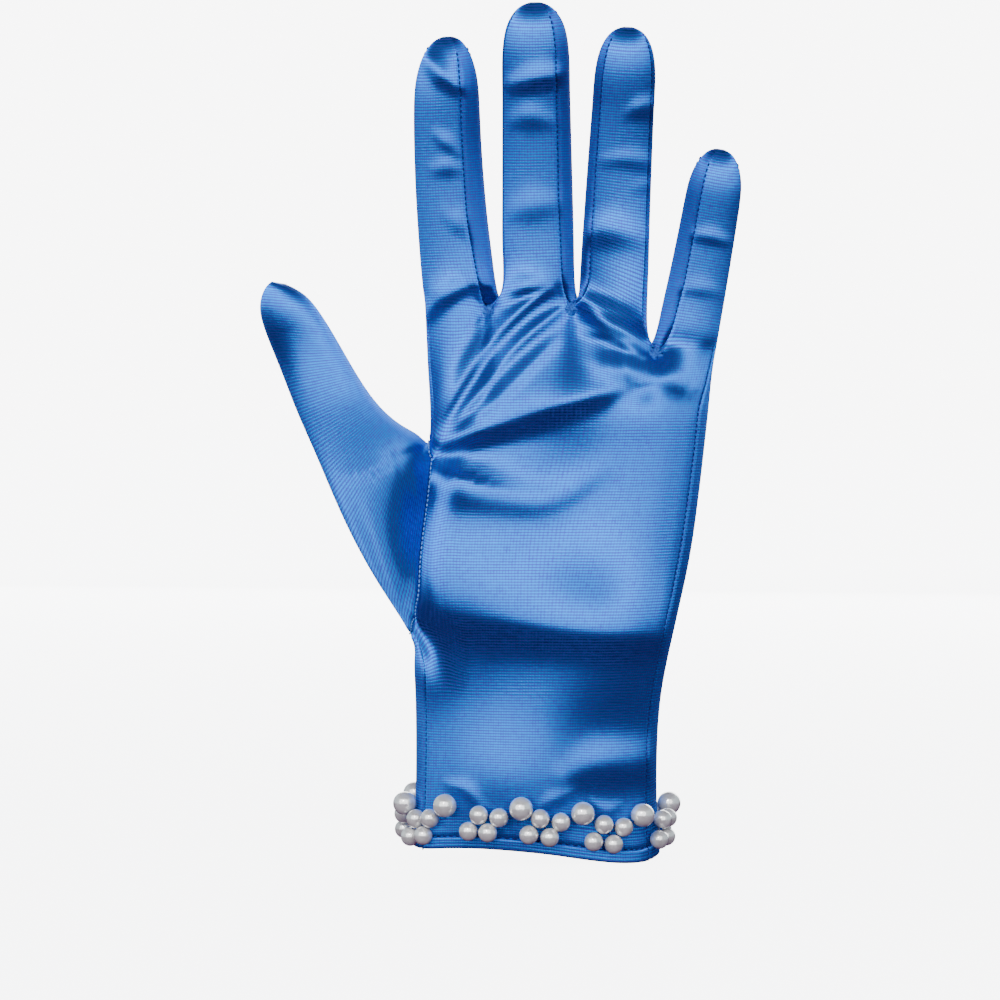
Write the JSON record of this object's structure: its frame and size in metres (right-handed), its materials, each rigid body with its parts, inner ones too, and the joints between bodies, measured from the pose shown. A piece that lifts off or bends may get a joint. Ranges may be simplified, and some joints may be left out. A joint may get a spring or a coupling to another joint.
{
  "type": "wrist length dress glove",
  "caption": "Wrist length satin dress glove for a left hand, in its worn form, with side strips between the fingers, a set-in thumb, a turned hem and clusters of pearls round the wrist.",
  "frame": {"origin": "middle of the wrist opening, at the height of the lowest point of its edge", "axes": "+Z from the wrist to the fingertips, +Y from the palm to the back of the hand, +X from the thumb to the little finger"},
  "size_m": [0.126, 0.0551, 0.2248],
  "materials": {
    "satin": "lustrous knitted satin, mid blue",
    "pearl": "pearly white"
  },
  "bodies": {
    "root": {"palm_panel": "satin", "back_panel": "satin", "thumb_panel": "satin", "fourchette_index_middle": "satin", "fourchette_middle_ring": "satin", "fourchette_ring_little": "satin", "pearl_cluster_01": "pearl", "pearl_cluster_02": "pearl", "pearl_cluster_03": "pearl", "pearl_cluster_04": "pearl", "pearl_cluster_05": "pearl", "pearl_cluster_06": "pearl", "pearl_cluster_07": "pearl", "pearl_cluster_08": "pearl", "pearl_cluster_09": "pearl", "pearl_cluster_10": "pearl"}
  },
  "joints": []
}
